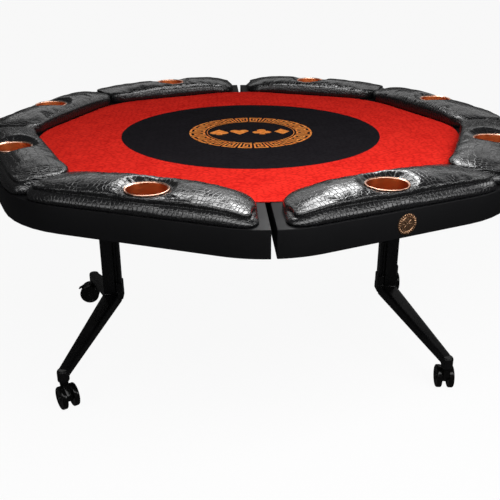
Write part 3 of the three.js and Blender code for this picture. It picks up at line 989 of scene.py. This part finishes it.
def make_thin_ring(side):
    base = print_base(side)
    steps = 90
    inner, outer = THIN_RING_INNER, THIN_RING_OUTER
    clear = 0.004 / inner
    verts = []
    for i in range(steps + 1):
        angle = first_angle(side) + clear + (math.pi - 2 * clear) * i / steps
        for radius, level in ((inner, 0), (outer, 0), (outer, 1), (inner, 1)):
            verts.append((*polar(radius, angle), base + level * PRINT_THICKNESS))
    inlay(f"{side}_thin_ring", side, verts, tube_faces(0, steps + 1, 4))


SUIT_PLACES = {
    "left": (("spade", -0.096), ("heart", -0.034)),
    "right": (("club", 0.034), ("diamond", 0.096)),
}
for side in SIDES:
    make_key_ring(side)
    make_thin_ring(side)
    for suit, x in SUIT_PLACES[side]:
        make_suit(side, suit, x)

# ---- Pads ----

PAD_OUTER, PAD_INNER = 0.7656, 0.609
OUTER_RADIUS, INNER_RADIUS = 0.291, 0.283
OUTER_CENTRE = (0.7676 - 0.293) / math.cos(EIGHTH)
INNER_CENTRE = (CLOTH_APOTHEM - CLOTH_CORNER) / math.cos(EIGHTH)
CUP_RING = 0.7025
HOLE_RADIUS = 0.0494
END_GAP, FOLD_GAP = 0.003, 0.028
PAD_CORNER_OUTER, PAD_CORNER_INNER = 0.032, 0.068
CREASE_HEIGHT = 0.027
FOLD_DROP = 0.42
CROWN_HEIGHT = 0.0550
CUP_SEAT = 0.0405
UNEVENNESS, PLEAT_DEPTH, PLEAT_REACH, CUP_BLEND = 0.0005, 0.0009, 0.016, 0.028
GOLDEN_ANGLE = 2.39996
# Distances from the outer edge, the inner edge and the ends over which the crown rises
OUTER_RISE, INNER_RISE, END_RISE = 0.095, 0.062, 0.18


def turned_near(angle, other):
    """angle, by whole turns brought within half a turn of other."""
    return angle - 2 * math.pi * round((angle - other) / (2 * math.pi))


def pad_outline(gaps, count):
    """Evenly spaced points round a pad, anticlockwise from the right end of its inner edge."""
    points = []

    def sweep(middle, radius, start, end):
        steps = max(2, int(abs(end - start) * radius / 0.0008))
        for i in range(steps):
            angle = start + (end - start) * i / steps
            points.append((middle[0] + radius * math.cos(angle), middle[1] + radius * math.sin(angle)))

    def corner(side, gap, distance, radius, sign, fillet):
        ray = np.array([side * math.sin(EIGHTH), math.cos(EIGHTH)])
        inward = np.array([-side * math.cos(EIGHTH), math.sin(EIGHTH)])
        reach = math.sqrt((radius + sign * fillet) ** 2 - (gap + fillet) ** 2)
        large = ray * distance
        small = ray * (distance + reach) + inward * (gap + fillet)
        angle = math.atan2(*(small - large)[::-1])
        return large, small, angle, math.atan2(-inward[1], -inward[0])

    up = math.pi / 2
    for side, gap in zip((1, -1), gaps):
        inner = corner(side, gap, INNER_CENTRE, INNER_RADIUS, 1, PAD_CORNER_INNER)
        outer = corner(side, gap, OUTER_CENTRE, OUTER_RADIUS, -1, PAD_CORNER_OUTER)
        start = len(points)
        sweep(inner[0], INNER_RADIUS, up, inner[2])
        back = inner[2] + math.pi
        sweep(inner[1], PAD_CORNER_INNER, back, turned_near(inner[3], back))
        sweep(outer[1], PAD_CORNER_OUTER, turned_near(outer[3], outer[2]), outer[2])
        sweep(outer[0], OUTER_RADIUS, outer[2], up)
        if side < 0:
            points[start:] = points[start:][::-1]
    ring = np.array(points)
    closed = np.vstack([ring, ring[:1]])
    length = np.concatenate([[0], np.cumsum(np.hypot(*np.diff(closed, axis=0).T))])
    wanted = np.linspace(0, length[-1], count, endpoint=False)
    return np.stack([np.interp(wanted, length, closed[:, k]) for k in (0, 1)], axis=1)


def dome(share, power):
    return (1 - (1 - np.clip(share, 0, 1)) ** power) ** (1 / power)


def ease(value):
    value = np.clip(value, 0, 1)
    return value * value * (3 - 2 * value)


def edge_distances(x, y, gaps):
    """Distances of points from a pad's outer edge, inner edge and nearer end."""
    def to_arc(distance, radius, sign, straight):
        tangent = distance * math.sin(EIGHTH)
        far = np.hypot(np.abs(x) - tangent, y - distance * math.cos(EIGHTH))
        return np.where(np.abs(x) < tangent, sign * (straight - y), sign * (radius - far))

    outer = to_arc(OUTER_CENTRE, OUTER_RADIUS, 1, PAD_OUTER)
    inner = to_arc(INNER_CENTRE, INNER_RADIUS, -1, PAD_INNER)
    right = -x * math.cos(EIGHTH) + y * math.sin(EIGHTH) - gaps[0]
    left = x * math.cos(EIGHTH) + y * math.sin(EIGHTH) - gaps[1]
    return outer, inner, np.minimum(right, left)


def swirl(x, y, seed):
    """Smooth fixed unevenness between about -1 and 1, for points in metres."""
    total = np.zeros_like(x)
    for k in range(6):
        angle = seed * 1.7 + k * GOLDEN_ANGLE
        scale = 60 + 23 * k
        total += np.sin(scale * (x * math.cos(angle) + y * math.sin(angle)) + seed * 5.1 + k * 1.3)
    return total / 3.2


def crease_height(x, y, gaps):
    """Height of the crease, which runs lower round the end at the fold line."""
    fold_end = float(gaps[0] > END_GAP) - float(gaps[1] > END_GAP)
    from_fold = y * math.sin(EIGHTH) - fold_end * x * math.cos(EIGHTH) - FOLD_GAP
    drop = abs(fold_end) * FOLD_DROP * (1 - ease(from_fold / 0.11))
    return CREASE_HEIGHT * (1 - drop)


def crown_height(x, y, gaps, seed):
    """Height of a pad's top over the plate."""
    outer, inner, end = edge_distances(x, y, gaps)
    across = np.minimum(dome(outer / OUTER_RISE, 1.75), dome(inner / INNER_RISE, 2.1))
    along = dome((end + 0.002) / END_RISE, 1.6)
    crease = crease_height(x, y, gaps)
    height = crease + (CROWN_HEIGHT - crease) * across * along
    height += UNEVENNESS * swirl(x, y, seed) * across
    from_cup = np.hypot(x, y - CUP_RING)
    turn = np.arctan2(y - CUP_RING, x)
    near = np.exp(-np.maximum(from_cup - HOLE_RADIUS, 0) / PLEAT_REACH)
    pleats = np.sin(13 * turn + seed) * 0.5 + np.sin(21 * turn + 2 * seed) * 0.35
    pleats += np.sin(34 * turn) * 0.25
    blend = ease((from_cup - HOLE_RADIUS) / CUP_BLEND)
    height = CUP_SEAT + (height - CUP_SEAT) * blend
    return height + PLEAT_DEPTH * pleats * near * ease((from_cup - HOLE_RADIUS) / 0.006)


# Side of a pad from its crown down to the plate: inward offset and height. Where the height
# is None, the third number is the share of the way from the crease up to the rim. The outer
# side has a fold between the crown and a lower roll; the inner side is one plain roll.
RIM_OUTER, RIM_INNER = 0.0172, 0.0115
CUP_TUCK = 0.38
OUTER_SIDE = [
    (0.0152, None, 0.74), (0.0148, None, 0.46), (0.0154, None, 0.20), (0.0168, 0.0288, 0),
    (0.0176, 0.0272, 0), (0.0166, 0.0262, 0), (0.0138, 0.0260, 0), (0.0104, 0.0238, 0),
    (0.0066, 0.0198, 0), (0.0030, 0.0148, 0), (0.0006, 0.0096, 0), (0.0004, 0.0046, 0),
    (0.0024, 0.0010, 0), (0.0070, 0.0, 0),
]
INNER_SIDE = [
    (0.0088, None, 0.86), (0.0066, None, 0.72), (0.0048, None, 0.56), (0.0033, None, 0.40),
    (0.0020, None, 0.22), (0.0011, 0.0225, 0), (0.0006, 0.0195, 0), (0.0002, 0.0165, 0),
    (0.0000, 0.0130, 0), (0.0002, 0.0095, 0), (0.0009, 0.0060, 0), (0.0024, 0.0028, 0),
    (0.0046, 0.0006, 0), (0.0070, 0.0, 0),
]


def make_pad_mesh(name, gaps, seed):
    """A padded arm rest with its outer side facing +Y, standing on the plate."""
    count = 300
    ring = pad_outline(gaps, count)
    tangent = np.roll(ring, -1, 0) - np.roll(ring, 1, 0)
    tangent /= np.hypot(*tangent.T)[:, None]
    inward = np.stack([-tangent[:, 1], tangent[:, 0]], 1)
    # 0 along the inner edge and 1 along the outer edge
    outward_share = ease((ring[:, 1] - 0.668) / 0.045)
    # In front of the cup the crease is shallower, to stay clear of the hole.
    tuck = 1 - CUP_TUCK * (1 - ease((np.abs(ring[:, 0]) - 0.015) / 0.055))
    rim = ring + inward * (RIM_INNER + (RIM_OUTER * tuck - RIM_INNER) * outward_share)[:, None]
    spoke = rim - np.array([0, CUP_RING])
    spoke_turn = np.arctan2(spoke[:, 1], spoke[:, 0])
    hole = np.array([0, CUP_RING]) + HOLE_RADIUS * np.stack([np.cos(spoke_turn), np.sin(spoke_turn)], 1)
    rows = []
    shares = 1 - (1 - np.linspace(0, 1, 34)) ** 1.25
    for share in shares:
        plan = hole + (rim - hole) * share
        rows.append((plan, crown_height(*plan.T, gaps, seed)))
    rim_height = rows[-1][1]
    crease = crease_height(*ring.T, gaps)
    sink = crease / CREASE_HEIGHT
    for (o1, z1, k1), (o2, z2, k2) in zip(OUTER_SIDE, INNER_SIDE):
        offset = outward_share * tuck * o1 + (1 - outward_share) * o2
        first = crease + (rim_height - crease) * k1 if z1 is None else z1 * sink
        second = crease + (rim_height - crease) * k2 if z2 is None else z2 * sink
        height = outward_share * first + (1 - outward_share) * second
        rows.append((ring + inward * offset[:, None], height))
    under = ring + inward * 0.007
    for share in (0.3, 0.65, 1.0):
        plan = under + (hole - under) * share
        rows.append((plan, np.zeros(count)))
    rows.append((hole, np.full(count, 0.02)))
    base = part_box("left_front_pad")[0].z
    verts = [(p[0], p[1], base + h) for plan, height in rows for p, h in zip(plan, height)]
    faces = []
    for r in range(len(rows)):
        faces += band(r * count, (r + 1) % len(rows) * count, count)
    pad = new_object(name, verts, faces)
    face_outward(pad)
    return pad


def vertex_places(mesh):
    flat = np.empty(len(mesh.vertices) * 3)
    mesh.vertices.foreach_get("co", flat)
    return flat.reshape(-1, 3)


def add_grain_map(pad):
    """UVs in metres over a pad's skin: along its length, and across it and down its sides."""
    mesh = pad.data
    points = vertex_places(mesh)
    drop = points[:, 2].max() - points[:, 2]
    side = 2 * ease((points[:, 1] - 0.62) / 0.13) - 1
    end = np.sign(points[:, 0]) * ease((np.abs(points[:, 0]) - 0.12) / 0.12)
    flat = np.stack([points[:, 0] + 0.7 * end * drop, points[:, 1] + side * drop], 1)
    layer = mesh.uv_layers.new(name="grain")
    corners = np.empty(len(mesh.loops), dtype=np.int64)
    mesh.loops.foreach_get("vertex_index", corners)
    layer.data.foreach_set("uv", flat[corners].ravel())


SKIN_VOXEL = 0.005
SWELL_FRAMES = 18
SEAM_WIDTH = 0.006
# How far the simulation may lift the skin, and move it sideways
RISE_CAP, SPREAD_CAP = 0.0012, 0.0008


def swell(pad, gaps):
    """Inflates a pad's leather between its seams by cloth simulation, and keeps small bulges."""
    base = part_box("left_front_pad")[0].z
    skin = add_object("pad_skin", pad.data.copy())
    remesh = skin.modifiers.new("even", "REMESH")
    remesh.mode = "VOXEL"
    remesh.voxel_size = SKIN_VOXEL
    bake_modifiers(skin)
    start = vertex_places(skin.data)
    outer, inner, end = edge_distances(start[:, 0], start[:, 1], gaps)
    from_cup = np.hypot(start[:, 0], start[:, 1] - CUP_RING)
    height = start[:, 2] - base
    seam = (height < CREASE_HEIGHT + 0.003) | (from_cup < HOLE_RADIUS + SEAM_WIDTH)
    seam |= (np.minimum(outer, inner) < SEAM_WIDTH) | (end < SEAM_WIDTH)
    pins = skin.vertex_groups.new(name="pins")
    pins.add([int(i) for i in np.flatnonzero(seam)], 1.0, "REPLACE")
    cloth = skin.modifiers.new("leather", "CLOTH")
    settings = cloth.settings
    settings.quality = 6
    settings.mass = 0.4
    settings.tension_stiffness = settings.compression_stiffness = 22
    settings.shear_stiffness = 8
    settings.bending_stiffness = 0.35
    settings.shrink_min = settings.shrink_max = -0.045
    settings.use_pressure = True
    settings.uniform_pressure_force = 4
    settings.vertex_group_mass = "pins"
    settings.effector_weights.gravity = 0
    cloth.collision_settings.use_collision = False
    cloth.point_cache.frame_start, cloth.point_cache.frame_end = 1, SWELL_FRAMES
    for step in range(1, SWELL_FRAMES + 1):
        scene.frame_set(step)
    bake_modifiers(skin)
    scene.frame_set(1)
    shift = vertex_places(skin.data) - start
    shift[:, 2] = RISE_CAP * np.tanh(shift[:, 2] / 0.006)
    spread = np.hypot(shift[:, 0], shift[:, 1])
    shift[:, :2] *= np.minimum(1, SPREAD_CAP / np.maximum(spread, 1e-9))[:, None]
    shift[seam] = 0
    shift *= ease((from_cup - HOLE_RADIUS) / 0.03)[:, None]
    tree = KDTree(len(start))
    for i, point in enumerate(start):
        tree.insert(point, i)
    tree.balance()
    for vertex in pad.data.vertices:
        near = tree.find_n(vertex.co, 4)
        weights = [1 / (distance + 0.0005) ** 2 for _, _, distance in near]
        total = sum(weights)
        for (_, i, _), weight in zip(near, weights):
            vertex.co += Vector(shift[i]) * (weight / total)
    discard(skin)


# Each shape is sewn once: the gaps past its right and left ends, and the seed of its unevenness.
PAD_KINDS = {
    "right": ((FOLD_GAP, END_GAP), 2),
    "plain": ((END_GAP, END_GAP), 5),
    "left": ((END_GAP, FOLD_GAP), 9),
}


def sew_pads():
    for kind, (gaps, seed) in PAD_KINDS.items():
        pad = make_pad_mesh(f"{kind}_pad_pattern", gaps, seed)
        swell(pad, gaps)
        add_grain_map(pad)
        yield kind, pad


def make_pads():
    patterns = dict(sew_pads())
    for side in SIDES:
        for index, place in enumerate(SIDE_NAMES[side]):
            node = f"{side}_{place}_pad"
            kind = {0: "right", 3: "left"}.get(index, "plain")
            facing = (5 + 2 * index) * EIGHTH + (math.pi if side == "right" else 0)
            mesh = patterns[kind].data.copy()
            mesh.transform(Matrix.Rotation(facing - math.pi / 2, 4, "Z"))
            mesh.shade_smooth()
            pad = add_object(f"{node}_upholstery", mesh)
            adopt(pad, "black_leather", node)
    for pattern in patterns.values():
        discard(pattern)


make_pads()

# ---- Medallion ----

MEDALLION_ANGLE = 13 * EIGHTH
MEDALLION_BEADS, STAR_POINTS = 26, 8


def medallion_height(share, angle):
    """Relief of the disc, 0 to 1: a ring of beads, a thin rim and a star on a sunk field."""
    edge = ease((1 - share) / 0.04)
    bead_ring = max(0.0, 1 - ((share - 0.86) / 0.11) ** 2)
    bead = bead_ring * max(0.0, math.cos(MEDALLION_BEADS * angle)) ** 0.5
    inner_rim = max(0.0, 1 - ((share - 0.69) / 0.035) ** 2)
    point = 0.5 + 0.5 * math.cos(STAR_POINTS * angle)
    star = ease((0.22 + 0.34 * point - share) / 0.08)
    boss = max(0.0, 1 - (share / 0.12) ** 2)
    return 0.35 + 0.1 * edge + 0.75 * bead + 0.45 * inner_rim + 0.3 * star + 0.2 * boss


def make_medallion():
    node = "apron_medallion"
    low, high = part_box(node)
    out = Vector((math.cos(MEDALLION_ANGLE), math.sin(MEDALLION_ANGLE), 0))
    along = Vector((-out.y, out.x, 0))
    radius = (high.z - low.z) / 2
    thickness = 0.003
    back = (low + high) / 2 - out * (thickness / 2)
    spokes, rings, first_share = 256, 45, 0.03
    angles = [2 * math.pi * i / spokes for i in range(spokes)]
    shares = [first_share + (1 - first_share) * i / (rings - 1) for i in range(rings)]

    def place(share, angle, height):
        across, rise = polar(radius * share, angle)
        return back + along * across + UP * rise + out * height

    verts = [place(0, 0, thickness * medallion_height(0, 0))]
    for share in shares:
        verts += [place(share, angle, thickness * medallion_height(share, angle)) for angle in angles]
    base = len(verts)
    verts += [place(1, angle, 0) for angle in angles]
    faces = [(0, 1 + i, 1 + (i + 1) % spokes) for i in range(spokes)]
    for start in range(1, base, spokes):
        faces += band(start, start + spokes, spokes)
    faces.append(tuple(range(base, base + spokes)))
    disc = new_object(f"{node}_relief", verts, faces)
    face_outward(disc)
    adopt(smooth(disc, 60), "bronze", node)


make_medallion()

visual_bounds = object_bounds()
rows = {"cad": cad_bounds, "visual": visual_bounds}
{k: [list(map(float, corner)) for corner in v] for k, v in rows.items()}
